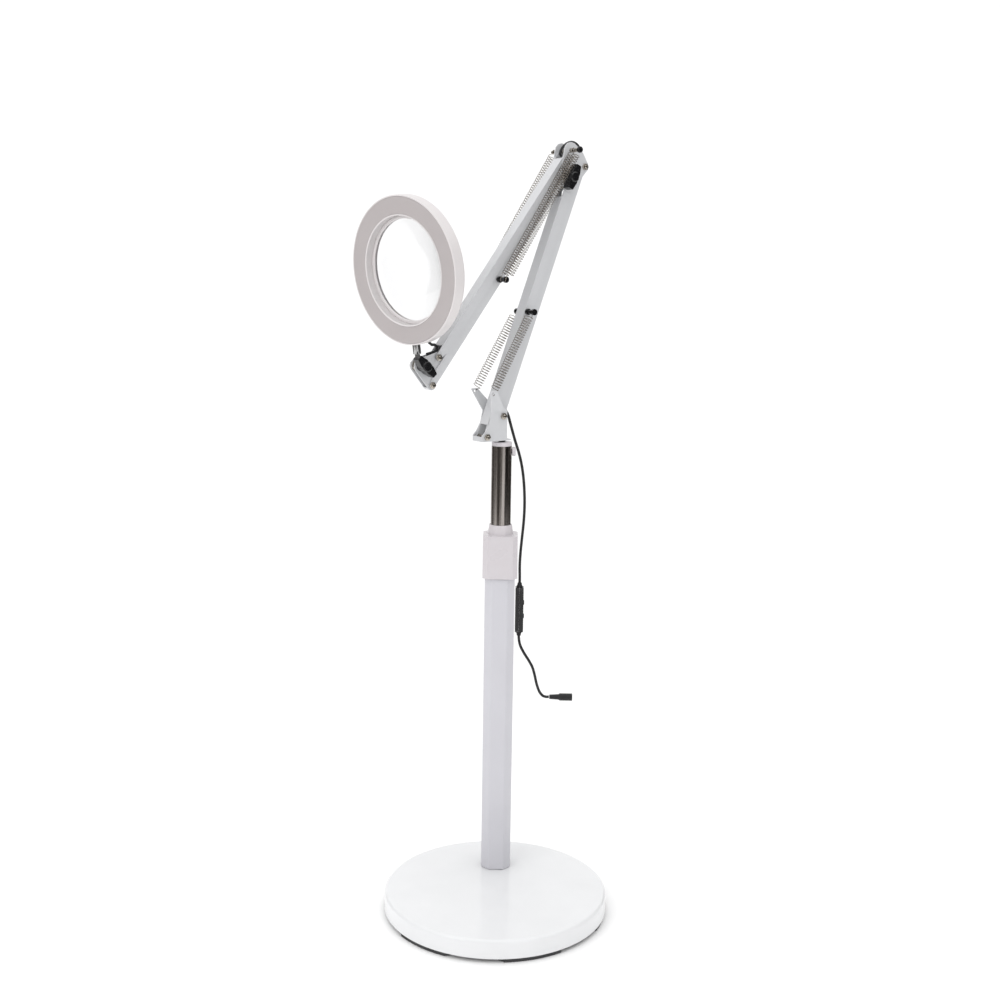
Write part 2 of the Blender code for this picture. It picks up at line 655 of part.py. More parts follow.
def wing_side(side):
    """One cheek of the base bracket with its wing, which bends outwards to hold a spring."""
    cheek = [(BRACKET_FRONT, BRACKET_BOTTOM), (BRACKET_REAR, BRACKET_BOTTOM), (BRACKET_REAR, BRACKET_BEND),
             (BRACKET_NECK, BRACKET_BEND), (BRACKET_NECK - 0.003, BRACKET_BEND - 0.014),
             (BRACKET_NECK - 0.009, BRACKET_BEND - 0.0245), (BRACKET_FRONT, BRACKET_BEND - 0.0295)]
    tip_x, tip_z = WING_TIP
    wing = [(BRACKET_NECK, BRACKET_BEND), (BRACKET_REAR, BRACKET_BEND), (-0.0065, BRACKET_BEND + 0.005),
            (tip_x + 0.0045, tip_z + 0.0035), (tip_x - 0.0045, tip_z + 0.0030)]
    slope = (WING_SPREAD - CHEEK_INSIDE - PLATE_THICKNESS / 2) / (tip_z - BRACKET_BEND)
    layers = []
    bm = bmesh.new()
    for depth in (CHEEK_INSIDE, CHEEK_OUTSIDE):
        layer = {}
        for x, z in cheek + wing:
            lean = max(0.0, z - BRACKET_BEND) * slope
            if (x, z) not in layer:
                layer[(x, z)] = bm.verts.new((x, side * (depth + lean), z))
        layers.append(layer)
    inner, outer = layers
    for outline in (cheek, wing):
        bm.faces.new([inner[key] for key in outline])
        bm.faces.new([outer[key] for key in reversed(outline)])
    rim = cheek[:3] + wing[2:] + cheek[3:]
    for index, key in enumerate(rim):
        after = rim[(index + 1) % len(rim)]
        bm.faces.new((inner[key], inner[after], outer[after], outer[key]))
    return mesh_from(bm, "wing_side")


def build_base_bracket():
    floor_top = BRACKET_BOTTOM + PLATE_THICKNESS
    tongue_half = CHEEK_OUTSIDE - PLATE_THICKNESS / 2
    low = (BRACKET_FRONT, -tongue_half, BRACKET_BOTTOM)
    high = (BRACKET_TONGUE, tongue_half, floor_top)
    bracket = new_object("base_bracket", box_mesh("bracket_floor", low, high), white_paint())
    wall_high = (BRACKET_FRONT + PLATE_THICKNESS, tongue_half, BRACKET_LIP)
    join(bracket, box_mesh("bracket_wall", low, wall_high), wing_side(-1), wing_side(1))
    cut(bracket, bore(SWIVEL_RADIUS + RUNNING, (0, 0, 0), Z_AXIS, TUBE_TOP, BRACKET_BEND))
    for pivot in (LOWER_FRONT_FOOT, LOWER_REAR_FOOT):
        cut(bracket, bore(PIN_RADIUS + RUNNING, pivot, Y_AXIS, -WING_SPREAD, WING_SPREAD))
    cut(bracket, bore(HOOK_HOLE, in_plane(*WING_TIP), Y_AXIS, -WING_SPREAD * 2, WING_SPREAD * 2))
    return bracket


def pivot_screw(name, point, outside):
    """A screw across the arm: its head on the near side, its peened foot on the far side."""
    near = -outside - GAP
    far = outside + GAP
    radius, thickness = PIN_HEAD
    dome = thickness * 0.4
    profile = [(0.0, near - thickness), (radius * 0.7, near - thickness), (radius, near - thickness + dome),
               (radius, near), (PIN_RADIUS, near), (PIN_RADIUS, far), (PIN_FOOT[0], far),
               (PIN_FOOT[0], far + PIN_FOOT[1]), (0.0, far + PIN_FOOT[1])]
    return turned(name, profile, point, Y_AXIS, steel(), SMALL_SIDES)


# Arm bars

def channel_bar(name, start, along, length, rise, section, holes):
    """A channel bar from one pivot to the next, its web on the side that rise points to.

    The holes are (distance along, rise from the pivot line).
    """
    half, open_edge = section
    lip = BAR_END / 3
    outline = hull_outline((
        (0.0, 0.0, BAR_END),
        (length, 0.0, BAR_END),
        (BAR_TAPER, WEB_OFFSET - BAR_END, BAR_END),
        (length - BAR_TAPER, WEB_OFFSET - BAR_END, BAR_END),
        (BAR_TAPER, lip - open_edge, lip),
        (length - BAR_TAPER, lip - open_edge, lip),
    ))
    place = Matrix((
        (along.x, 0, rise.x, start.x),
        (0, 1, 0, 0),
        (along.z, 0, rise.z, start.z),
        (0, 0, 0, 1),
    ))
    bar = extruded(name, outline, -half, half, white_paint(), place, start)
    inside = half - BAR_WALL
    beyond = 2 * BAR_TAPER
    web_end = BAR_TAPER - BAR_WALL
    for low_x, high_x, top in ((-beyond, length + beyond, WEB_OFFSET - BAR_WALL),
                               (-beyond, web_end, beyond),
                               (length - web_end, length + beyond, beyond)):
        cut(bar, box_mesh("channel", (low_x, -inside, -beyond), (high_x, inside, top), place))
    for distance, lift in holes:
        centre = start + along * distance + rise * lift
        cut(bar, bore(PIN_RADIUS + RUNNING, centre, Y_AXIS, -half * 2, half * 2))
    return bar


def build_lower_bars():
    front_web = in_plane(-math.cos(LOWER_LEAN), math.sin(LOWER_LEAN))
    ends = ((0.0, 0.0), (LOWER_LENGTH, 0.0))
    spring = ((LOWER_PIN_AT, 0.0),)
    channel_bar("lower_front_bar", LOWER_FRONT_FOOT, LOWER_ALONG, LOWER_LENGTH, front_web, OUTER_BAR,
                ends + spring)
    channel_bar("lower_rear_bar", LOWER_REAR_FOOT, LOWER_ALONG, LOWER_LENGTH, -front_web, INNER_BAR, ends)


def build_upper_bars():
    ends = ((0.0, 0.0), (UPPER_LENGTH, 0.0))
    spring = ((UPPER_PIN_AT, -UPPER_PIN_RISE),)
    channel_bar("upper_front_bar", UPPER_FRONT_TOP, UPPER_ALONG, UPPER_LENGTH, UPPER_RISE, OUTER_BAR, ends)
    channel_bar("upper_rear_bar", UPPER_REAR_TOP, UPPER_ALONG, UPPER_LENGTH, -UPPER_RISE, INNER_BAR,
                ends + spring)


def build_pivot_screws():
    pivot_screw("lower_front_screw", LOWER_FRONT_FOOT, CHEEK_OUTSIDE)
    pivot_screw("lower_rear_screw", LOWER_REAR_FOOT, CHEEK_OUTSIDE)
    pivot_screw("elbow_front_screw", LOWER_FRONT_TOP, CHEEK_OUTSIDE)
    pivot_screw("elbow_rear_screw", LOWER_REAR_TOP, CHEEK_OUTSIDE)
    pivot_screw("head_front_screw", UPPER_FRONT_END, OUTER_BAR[0])
    pivot_screw("head_rear_screw", UPPER_REAR_END, INNER_BAR[0])


# Elbow

def build_elbow_plates():
    (corner_x, corner_z), corner_radius = ELBOW_CORNER
    corner = UPPER_FRONT_TOP + in_plane(corner_x, corner_z)
    pivots = (LOWER_FRONT_TOP, LOWER_REAR_TOP, UPPER_REAR_TOP, UPPER_FRONT_TOP)
    circles = [(pivot.x, pivot.z, radius) for pivot, radius in zip(pivots, ELBOW_RADII)]
    circles.append((corner.x, corner.z, corner_radius))
    for name, low, high in (("elbow_plate_near", -CHEEK_OUTSIDE, -CHEEK_INSIDE),
                            ("elbow_plate_far", CHEEK_INSIDE, CHEEK_OUTSIDE)):
        plate = extruded(name, hull_outline(circles), low, high, white_paint())
        for pivot in pivots:
            cut(plate, bore(PIN_RADIUS + RUNNING, pivot, Y_AXIS, -CHEEK_OUTSIDE * 2, CHEEK_OUTSIDE * 2))


def build_elbow_knob_bolt():
    far = CHEEK_OUTSIDE + GAP
    boss_far = -CHEEK_OUTSIDE - GAP
    boss_near = boss_far - ELBOW_BOSS[1]
    tip = boss_near - KNOB_LENGTH * 0.7
    profile = bar_profile((PIN_RADIUS, tip, boss_near), (ELBOW_BOSS[0], boss_near, boss_far),
                          (PIN_RADIUS, boss_far, far), (PIN_HEAD[0], far, far + PIN_HEAD[1]))
    return turned("elbow_knob_bolt", profile, UPPER_REAR_TOP, Y_AXIS, steel(), SMALL_SIDES)


def build_elbow_spring_post():
    profile = bar_profile((PIN_RADIUS, -POST_NEAR, POST_FAR))
    turned("elbow_spring_post", profile, UPPER_FRONT_TOP, Y_AXIS, steel(), SMALL_SIDES)
    radius, length = POST_CAP
    edge = length / 4
    near = -POST_NEAR - GAP
    cap = [(0.0, near - length), (radius - edge, near - length), (radius, near - length + edge),
           (radius, near), (0.0, near)]
    turned("elbow_post_cap", cap, UPPER_FRONT_TOP, Y_AXIS, black_plastic(), SMALL_SIDES)


def wing_knob(name, point, near, angle):
    """A knob with two wings, its back at -near, open there for its bolt."""
    front = -near - KNOB_LENGTH
    outline = ((-WING_REACH, -WING_END), (-KNOB_HUB, -WING_ROOT), (KNOB_HUB, -WING_ROOT),
               (WING_REACH, -WING_END), (WING_REACH, WING_END), (KNOB_HUB, WING_ROOT),
               (-KNOB_HUB, WING_ROOT), (-WING_REACH, WING_END))
    turn = Matrix.Translation(point) @ Matrix.Rotation(angle - math.pi / 2, 4, "Y")
    knob = extruded(name, outline, front, -near - KNOB_LENGTH / 5, black_plastic(), turn, point)
    hub_edge = KNOB_LENGTH / 12
    hub = [(0.0, front - hub_edge), (KNOB_HUB - hub_edge, front - hub_edge), (KNOB_HUB, front),
           (KNOB_HUB, -near), (0.0, -near)]
    join(knob, turned_mesh("knob_hub", hub, point, Y_AXIS, SMALL_SIDES))
    cut(knob, bore(PIN_RADIUS + RUNNING, point, Y_AXIS, front + KNOB_LENGTH / 5, 0.0))
    return knob


def build_elbow_knob():
    return wing_knob("elbow_knob", UPPER_REAR_TOP, CHEEK_OUTSIDE + ELBOW_BOSS[1] + 2 * GAP, ELBOW_KNOB_ANGLE)


# Springs

def spring_pin(name, point, cap_length):
    """A pin across a bar, with a spool for its near spring and a cap over its far spring."""
    inside = OUTER_BAR[0] + SIDE_PLAY
    near = -inside - SPOOL_LENGTH * 0.8
    far = inside + cap_length * 0.6
    flange, thickness = SPOOL_FLANGE
    turned(name + "_pin", bar_profile((SPRING_PIN_RADIUS, near, far)), point, Y_AXIS, steel(), SMALL_SIDES)
    hole = SPRING_PIN_RADIUS + GAP
    outer = -inside - SPOOL_LENGTH
    spool = [(0.0, outer), (flange, outer), (flange, outer + thickness), (SPOOL_HUB, outer + thickness),
             (SPOOL_HUB, -inside - thickness), (flange, -inside - thickness), (flange, -inside),
             (hole, -inside), (hole, near - GAP), (0.0, near - GAP)]
    turned(name + "_near_spool", spool, point, Y_AXIS, black_plastic(), SMALL_SIDES)
    cap = [(hole, inside), (flange, inside), (flange, inside + cap_length),
           (0.0, inside + cap_length), (0.0, far + GAP), (hole, far + GAP)]
    turned(name + "_far_cap", cap, point, Y_AXIS, black_plastic(), SMALL_SIDES)


def spring_sleeve(name, pin, anchor, radius, anchor_gap):
    """The space that a coil spring fills between a pin and an anchor, with a stub for each end hook."""
    along = (anchor - pin).normalized()
    length = (anchor - pin).length
    coils_end = length - SPRING_END
    profile = bar_profile((SPRING_STUB, STUB_END, SPRING_END), (radius, SPRING_END, coils_end),
                          (SPRING_STUB, coils_end, length - anchor_gap))
    return turned(name, profile, pin, along, steel(), SMALL_SIDES)


def build_springs():
    near, far = LOWER_SPRING_SIDES
    spring_pin("lower_spring", LOWER_SPRING_PIN, FAR_CAP_LENGTHS[0])
    wing = in_plane(*WING_TIP)
    clear_of_wing = 2 * STUB_END
    spring_sleeve("lower_near_spring", LOWER_SPRING_PIN - Y_AXIS * near, wing - Y_AXIS * WING_SPREAD,
                  LOWER_SPRING_RADIUS, clear_of_wing)
    spring_sleeve("lower_far_spring", LOWER_SPRING_PIN + Y_AXIS * far, wing + Y_AXIS * WING_SPREAD,
                  LOWER_SPRING_RADIUS, clear_of_wing)
    spring_pin("upper_spring", UPPER_SPRING_PIN, FAR_CAP_LENGTHS[1])
    pitch = 2 * UPPER_SPRING_RADIUS + GAP
    near, far = UPPER_SPRING_SIDES
    sides = (("upper_inner_spring", -near), ("upper_outer_spring", -near - pitch), ("upper_far_spring", far))
    for name, side in sides:
        spring_sleeve(name, UPPER_SPRING_PIN + Y_AXIS * side, UPPER_FRONT_TOP + Y_AXIS * side,
                      UPPER_SPRING_RADIUS, STUB_END)


# Head

def build_head_bracket():
    pivot_radius, rear_radius, front_radius = HEAD_BRACKET_RADII
    corners = ((HEAD_AXIS, pivot_radius), (UPPER_REAR_END, rear_radius), (UPPER_FRONT_END, front_radius))
    circles = [(point.x, point.z, radius) for point, radius in corners]
    half = HEAD_BRACKET_HALF
    bracket = extruded("head_bracket", hull_outline(circles), -half, half, white_paint())
    above = HEAD_AXIS + STEM_UP * RING_RADIUS
    ahead = HEAD_AXIS + in_plane(-RING_RADIUS, RING_RADIUS / 4)
    behind = UPPER_REAR_END + in_plane(RING_RADIUS, RING_RADIUS / 4)
    inside = hull_outline((
        (HEAD_AXIS.x, HEAD_AXIS.z, pivot_radius - PLATE_THICKNESS),
        (above.x, above.z, pivot_radius - PLATE_THICKNESS),
        (ahead.x, ahead.z, pivot_radius - PLATE_THICKNESS),
        (UPPER_REAR_END.x, UPPER_REAR_END.z, rear_radius - PLATE_THICKNESS),
        (behind.x, behind.z, rear_radius - PLATE_THICKNESS),
    ))
    cut(bracket, extruded_mesh("bracket_inside", inside, -half + PLATE_THICKNESS, half - PLATE_THICKNESS,
                               Matrix()))
    for pivot in (HEAD_AXIS, UPPER_REAR_END, UPPER_FRONT_END):
        cut(bracket, bore(PIN_RADIUS + RUNNING, pivot, Y_AXIS, -2 * half, 2 * half))
    return bracket


def build_head_pivot_bolt():
    far = HEAD_BRACKET_HALF + GAP
    radius, thickness = PIVOT_DISC
    edge = thickness / 4
    tip = -HEAD_BRACKET_HALF - KNOB_LENGTH * 0.7
    profile = [(0.0, tip), (PIN_RADIUS, tip), (PIN_RADIUS, far), (radius, far), (radius, far + thickness - edge),
               (radius - edge, far + thickness), (0.0, far + thickness)]
    return turned("head_pivot_bolt", profile, HEAD_AXIS, Y_AXIS, steel(), SMALL_SIDES)


def build_head_knob():
    return wing_knob("head_knob", HEAD_AXIS, HEAD_BRACKET_HALF + GAP, HEAD_KNOB_ANGLE)


def build_knuckle():
    half = KNUCKLE_HALF
    knuckle = turned("knuckle", bar_profile((KNUCKLE_RADIUS, -half, half)), HEAD_AXIS, Y_AXIS, steel(), SMALL_SIDES * 2)
    boss = KNUCKLE_HALF - GAP
    join(knuckle, bore(boss, HEAD_AXIS, STEM_UP, 0.0, KNUCKLE_TOP))
    cut(knuckle, bore(PIN_RADIUS + RUNNING, HEAD_AXIS, Y_AXIS, -2 * half, 2 * half))
    cut(knuckle, bore(PIN_RADIUS - GAP, HEAD_AXIS, STEM_UP, BORE_START - GAP, 2 * KNUCKLE_TOP))
    return knuckle


def build_head_stem():
    spigot = PIN_RADIUS - 2 * GAP - RUNNING
    top = STEM_TO_CENTRE - RING_RADIUS - 2 * GAP
    seat = KNUCKLE_TOP + GAP
    inside = top + RING_WALL + 4 * GAP
    profile = bar_profile((spigot, BORE_START, seat), (STEM_NECK, seat, STEM_START),
                          (STEM_RADIUS, STEM_START, top), (STEM_NECK, top, inside))
    return turned("head_stem", profile, HEAD_AXIS, STEM_UP, chrome(), SMALL_SIDES * 2)


def lens_seat():
    """How deep the lens's front edge lies behind the ring's face."""
    bulge = lens_bulge(LENS_LIP, OPENING_RADIUS - GAP)
    return RING_DEPTH - LIP_THICKNESS - GAP - LENS_EDGE - bulge


def build_ring_housing():
    outer = RING_RADIUS
    back = RING_DEPTH
    wall = RING_WALL
    profile = [(outer - wall, 0.0), (outer, 0.0)]
    corner = 3
    for step in range(corner + 1):
        angle = math.pi / 2 * step / corner
        profile.append((outer - RING_ROUNDING * (1 - math.cos(angle)),
                        back - RING_ROUNDING * (1 - math.sin(angle))))
    profile += [(LENS_LIP, back), (LENS_LIP, back - LIP_THICKNESS), (OPENING_RADIUS, back - LIP_THICKNESS),
                (OPENING_RADIUS, 0.0), (OPENING_RADIUS + wall, 0.0), (OPENING_RADIUS + wall, back - wall),
                (outer - RING_ROUNDING, back - wall), (outer - wall, back - RING_ROUNDING)]
    housing = turned("ring_housing", profile, RING_FACE, RING_BACK, white_plastic(), RING_SIDES)
    socket = STEM_TO_CENTRE - RING_RADIUS
    cut(housing, bore(STEM_NECK + RUNNING, HEAD_AXIS, STEM_UP, socket - wall, socket + 2 * wall))
    return housing


def build_light_diffuser():
    inner = OPENING_RADIUS + RING_WALL + GAP
    outer = RING_RADIUS - RING_WALL - GAP
    profile = ring_profile(inner, outer, 0.0, DIFFUSER_THICKNESS)
    return turned("light_diffuser", profile, RING_FACE, RING_BACK, grey_plastic(), RING_SIDES)


def build_led_board():
    inner, outer, thickness = BOARD
    back = RING_DEPTH - RING_WALL - GAP
    profile = ring_profile(inner, outer - RING_ROUNDING / 4, back - thickness, back)
    return turned("led_board", profile, RING_FACE, RING_BACK, white_plastic(), SIDES)


def lens_bulge(radius, rim):
    curve = LENS_CURVE_RADIUS
    return math.sqrt(curve ** 2 - radius ** 2) - math.sqrt(curve ** 2 - rim ** 2)


def build_lens():
    rim = OPENING_RADIUS - GAP
    front = lens_seat()
    back = front + LENS_EDGE
    steps = 4
    radii = [rim * step / steps for step in range(steps + 1)]
    profile = [(radius, front - lens_bulge(radius, rim)) for radius in radii]
    profile += [(radius, back + lens_bulge(radius, rim)) for radius in reversed(radii)]
    glass = material("lens_glass", (0.92, 0.96, 0.97), 0.02, 0.0, 0.35)
    return turned("lens", profile, RING_FACE, RING_BACK, glass, RING_SIDES)


def build_lens_retainer():
    rim = OPENING_RADIUS - GAP
    back = lens_seat() - lens_bulge(LENS_LIP, rim) - GAP
    profile = ring_profile(LENS_LIP, rim, back - RETAINER_THICKNESS, back)
    return turned("lens_retainer", profile, RING_FACE, RING_BACK, white_plastic(), RING_SIDES)


# Cord and controller

def controller_place():
    """Thickness runs sideways and width runs towards the back."""
    x, y = CONTROLLER_CENTRE
    return Matrix.Translation((x, y, CONTROLLER_BOTTOM)) @ FLATS


def shell_mesh(name, low, high):
    """An upright block with chamfered ends, thickness on X, width on Y, height on Z."""
    thickness_low, thickness_high = low, high
    width = CONTROLLER_SIZE[1] / 2
    height = CONTROLLER_SIZE[2]
    chamfer = width / 3
    outline = ((-width + chamfer, 0.0), (width - chamfer, 0.0), (width, chamfer), (width, height - chamfer),
               (width - chamfer, height), (-width + chamfer, height), (-width, height - chamfer),
               (-width, chamfer))
    bm = bmesh.new()
    near = [bm.verts.new((thickness_low, y, z)) for y, z in outline]
    far = [bm.verts.new((thickness_high, y, z)) for y, z in outline]
    bm.faces.new(near)
    bm.faces.new(list(reversed(far)))
    for index in range(len(outline)):
        after = (index + 1) % len(outline)
        bm.faces.new((near[index], near[after], far[after], far[index]))
    mesh = mesh_from(bm, name)
    mesh.transform(controller_place())
    return mesh


def button_places():
    middle = CONTROLLER_SIZE[2] / 2
    face = CONTROLLER_SIZE[0] / 2
    heights = (("power_button", middle + BUTTON_SPACING / 2), ("dimmer_button", middle - BUTTON_SPACING / 2))
    return [(name, controller_place() @ Vector((face, 0, height))) for name, height in heights]


def build_controller():
    half = CONTROLLER_SIZE[0] / 2
    wall = CONTROLLER_WALL
    width = CONTROLLER_SIZE[1] / 2 - wall
    height = CONTROLLER_SIZE[2]
    front = new_object("controller_front", shell_mesh("front", GAP / 2, half), black_plastic())
    rear = new_object("controller_rear", shell_mesh("rear", -half, -GAP / 2), black_plastic())
    end = 2 * wall
    for shell, low, high in ((front, -half, half - wall), (rear, wall - half, half)):
        cut(shell, box_mesh("hollow", (low, -width, end), (high, width, height - end), controller_place()))
    for _, place in button_places():
        cut(front, bore(BUTTON_RADIUS + RUNNING, place, SIDEWAYS, -2 * wall, 2 * wall))
    for name, place in button_places():
        profile = bar_profile((BUTTON_RADIUS, BUTTON_PROUD - BUTTON_HEIGHT, BUTTON_PROUD))
        turned(name, profile, place, SIDEWAYS, grey_plastic(), SMALL_SIDES)


def build_cord():
    cord("elbow_lead", [LOWER_FRONT_TOP + Vector(offset) for offset in ELBOW_LEAD], CORD_STEP / 2)
    meets_ring = HEAD_AXIS + STEM_UP * HEAD_LEAD_HEIGHT + RING_BACK * (RING_DEPTH / 2 + GAP)
    straight = meets_ring + RING_BACK * CORD_DIAMETER
    route = [HEAD_AXIS + Vector(offset) for offset in HEAD_LEAD]
    cord("head_lead", (meets_ring, straight, *route), CORD_STEP / 2)
    cord("upper_cord", UPPER_CORD)
    cord("lower_cord", LOWER_CORD)
    turned("dc_socket", SOCKET_PROFILE, SOCKET_START, SIDEWAYS, rubber(), SMALL_SIDES)


def main():
    for leftover in list(bpy.data.objects):
        bpy.data.objects.remove(leftover)
    build_anti_slip_mat()
    build_base_weight()
    build_base_cover()
    build_pole_bolt()
    build_pole_foot_plug()
    build_pole()
    build_pole_bush()
    build_lock_collar()
    build_inner_tube()
    build_tube_cap()
    build_tube_lock_screw()
    build_swivel_pin()
    build_base_bracket()
    build_lower_bars()
    build_upper_bars()
    build_pivot_screws()
    build_elbow_plates()
    build_elbow_knob_bolt()
    build_elbow_spring_post()
    build_elbow_knob()
    build_springs()
    build_head_bracket()
    build_head_pivot_bolt()
    build_head_knob()
    build_knuckle()
    build_head_stem()
    build_ring_housing()
    build_light_diffuser()
    build_led_board()
    build_lens()
    build_lens_retainer()
    build_controller()
    build_cord()


main()
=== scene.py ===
"""Looks of a magnifying lamp: camera, cord, studio, finishes and detailed pieces around its CAD frame."""
import json
import math

import bpy
from mathutils import Matrix, Vector


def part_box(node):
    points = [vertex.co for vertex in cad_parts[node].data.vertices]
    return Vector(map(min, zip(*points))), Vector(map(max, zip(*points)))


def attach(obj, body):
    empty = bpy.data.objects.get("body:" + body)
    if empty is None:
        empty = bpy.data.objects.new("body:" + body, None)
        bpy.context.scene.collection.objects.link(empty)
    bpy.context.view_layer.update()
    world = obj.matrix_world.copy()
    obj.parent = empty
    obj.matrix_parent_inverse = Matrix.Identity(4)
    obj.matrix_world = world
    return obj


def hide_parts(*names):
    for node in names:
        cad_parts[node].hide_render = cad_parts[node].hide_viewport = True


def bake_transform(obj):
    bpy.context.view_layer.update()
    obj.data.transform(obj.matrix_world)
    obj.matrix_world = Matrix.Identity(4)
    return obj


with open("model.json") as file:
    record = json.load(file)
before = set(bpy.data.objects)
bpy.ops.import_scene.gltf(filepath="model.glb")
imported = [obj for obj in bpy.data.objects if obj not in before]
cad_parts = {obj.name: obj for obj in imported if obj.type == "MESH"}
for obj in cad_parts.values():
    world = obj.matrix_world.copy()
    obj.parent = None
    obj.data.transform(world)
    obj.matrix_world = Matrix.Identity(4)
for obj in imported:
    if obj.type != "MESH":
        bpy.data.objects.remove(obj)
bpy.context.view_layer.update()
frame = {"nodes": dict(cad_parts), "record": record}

Y_AXIS = Vector((0, 1, 0))
Z_AXIS = Vector((0, 0, 1))
FACING = math.radians(35)
AWAY = Vector((math.sin(FACING), math.cos(FACING), 0))
SIDEWAYS = Vector((math.cos(FACING), -math.sin(FACING), 0))

BODY_OF = {node: body for body, nodes in frame["record"]["behaviour"]["bodies"].items() for node in nodes}
JOINTS = {joint["name"]: joint for joint in frame["record"]["behaviour"]["joints"]}

CORD_DIAMETER = 0.0036
UPPER_CORD = (
    (0.0042, 0.0008, 0.6290), (0.0105, 0.0024, 0.6215), (0.0160, 0.0033, 0.6075), (0.0226, 0.0038, 0.5895),
    (0.0295, 0.0040, 0.5720), (0.0347, 0.0044, 0.5550), (0.0384, 0.0051, 0.5370), (0.0408, 0.0060, 0.5180),
    (0.0418, 0.0068, 0.4990), (0.0416, 0.0079, 0.4800), (0.0405, 0.0092, 0.4610), (0.0394, 0.0102, 0.4430),
    (0.0388, 0.0108, 0.4250), (0.0390, 0.0106, 0.4080), (0.0390, 0.0106, 0.3960),
)
LOWER_CORD = (
    (0.0390, 0.0106, 0.3360), (0.0390, 0.0106, 0.3290), (0.0405, 0.0095, 0.3180), (0.0450, 0.0064, 0.3070),
    (0.0500, 0.0029, 0.2975), (0.0542, -0.0001, 0.2880), (0.0568, -0.0019, 0.2775), (0.0590, -0.0034, 0.2660),
    (0.0622, -0.0057, 0.2550), (0.0670, -0.0090, 0.2484), (0.0726, -0.0130, 0.2480),
)


def joint_point(name):
    return Vector(JOINTS[name]["pos_m"])


def middle(node):
    low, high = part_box(node)
    return (low + high) / 2


HEAD_AXIS = joint_point("head_tilt")
STEM_UP = Vector(JOINTS["head_swivel"]["axis"]).normalized()
HEAD_YAW = math.radians(11.9)
RING_BACK = Matrix.Rotation(HEAD_YAW, 3, STEM_UP) @ STEM_UP.cross(-Y_AXIS)
RING_DEPTH = 0.018
RING_RADIUS = 0.0867
RING_WALL = 0.0018
OPENING_RADIUS = 0.0630
LENS_LIP = 0.0590
LIP_THICKNESS = 0.0016
STEM_TO_CENTRE = 0.1123
GAP = 0.0003
RING_FACE = HEAD_AXIS + STEM_UP * STEM_TO_CENTRE - RING_BACK * RING_DEPTH / 2


# Camera

def add_camera():
    pitch = math.radians(9.68)
    roll = math.radians(0.86)
    distance = 1.637
    height = 0.794
    aside = -0.0012
    forward = AWAY * math.cos(pitch) - Z_AXIS * math.sin(pitch)
    level_up = Z_AXIS * math.cos(pitch) + AWAY * math.sin(pitch)
    right = SIDEWAYS * math.cos(roll) + level_up * math.sin(roll)
    up = level_up * math.cos(roll) - SIDEWAYS * math.sin(roll)
    place = SIDEWAYS * aside - AWAY * distance + Z_AXIS * height
    data = bpy.data.cameras.new("camera")
    data.lens = 47.52
    data.sensor_width = 36
    camera = bpy.data.objects.new("camera", data)
    camera.matrix_world = Matrix((
        (right.x, up.x, -forward.x, place.x),
        (right.y, up.y, -forward.y, place.y),
        (right.z, up.z, -forward.z, place.z),
        (0, 0, 0, 1),
    ))
    bpy.context.scene.collection.objects.link(camera)
    bpy.context.scene.camera = camera


# Finishes

def new_finish(name, colour, roughness, metallic=0.0):
    """A material with its shader, ready for its pattern."""
    finish = bpy.data.materials.new(name)
    finish.use_nodes = True
    shader = finish.node_tree.nodes["Principled BSDF"]
    shader.inputs["Base Color"].default_value = (*colour, 1.0)
    shader.inputs["Roughness"].default_value = roughness
    shader.inputs["Metallic"].default_value = metallic
    return finish, shader


def pattern(finish, scale, detail=2.0, stretch=(1, 1, 1), kind="ShaderNodeTexNoise"):
    """A noise texture on the piece's own coordinates."""
    nodes = finish.node_tree.nodes
    links = finish.node_tree.links
    place = nodes.new("ShaderNodeTexCoord")
    mapping = nodes.new("ShaderNodeMapping")
    mapping.inputs["Scale"].default_value = stretch
    texture = nodes.new(kind)
    texture.inputs["Scale"].default_value = scale
    if "Detail" in texture.inputs:
        texture.inputs["Detail"].default_value = detail
    links.new(place.outputs["Object"], mapping.inputs["Vector"])
    links.new(mapping.outputs["Vector"], texture.inputs["Vector"])
    return texture


def vary_colour(finish, shader, texture, dark, light, low=0.35, high=0.65):
    nodes = finish.node_tree.nodes
    links = finish.node_tree.links
    ramp = nodes.new("ShaderNodeValToRGB")
    ramp.color_ramp.elements[0].position = low
    ramp.color_ramp.elements[0].color = (*dark, 1.0)
    ramp.color_ramp.elements[1].position = high
    ramp.color_ramp.elements[1].color = (*light, 1.0)
    links.new(texture.outputs[0], ramp.inputs["Fac"])
    links.new(ramp.outputs["Color"], shader.inputs["Base Color"])


def vary_roughness(finish, shader, texture, smooth, rough):
    nodes = finish.node_tree.nodes
    links = finish.node_tree.links
    spread = nodes.new("ShaderNodeMapRange")
    spread.inputs["To Min"].default_value = smooth
    spread.inputs["To Max"].default_value = rough
    links.new(texture.outputs[0], spread.inputs["Value"])
    links.new(spread.outputs["Result"], shader.inputs["Roughness"])


def raise_grain(finish, shader, texture, strength, depth):
    nodes = finish.node_tree.nodes
    links = finish.node_tree.links
    bump = nodes.new("ShaderNodeBump")
    bump.inputs["Strength"].default_value = strength
    bump.inputs["Distance"].default_value = depth
    links.new(texture.outputs[0], bump.inputs["Height"])
    links.new(bump.outputs["Normal"], shader.inputs["Normal"])


def paint(name, colour, roughness=0.30):
    """Powder coat with a faint orange peel."""
    finish, shader = new_finish(name, colour, roughness)
    shader.inputs["Coat Weight"].default_value = 0.25
    shader.inputs["Coat Roughness"].default_value = 0.08
    cloud = pattern(finish, 14, 3)
    vary_colour(finish, shader, cloud, [c * 0.975 for c in colour], [min(1.0, c * 1.01) for c in colour])
    vary_roughness(finish, shader, cloud, roughness * 0.85, roughness * 1.2)
    raise_grain(finish, shader, pattern(finish, 420, 2), 0.12, 0.00015)
    return finish


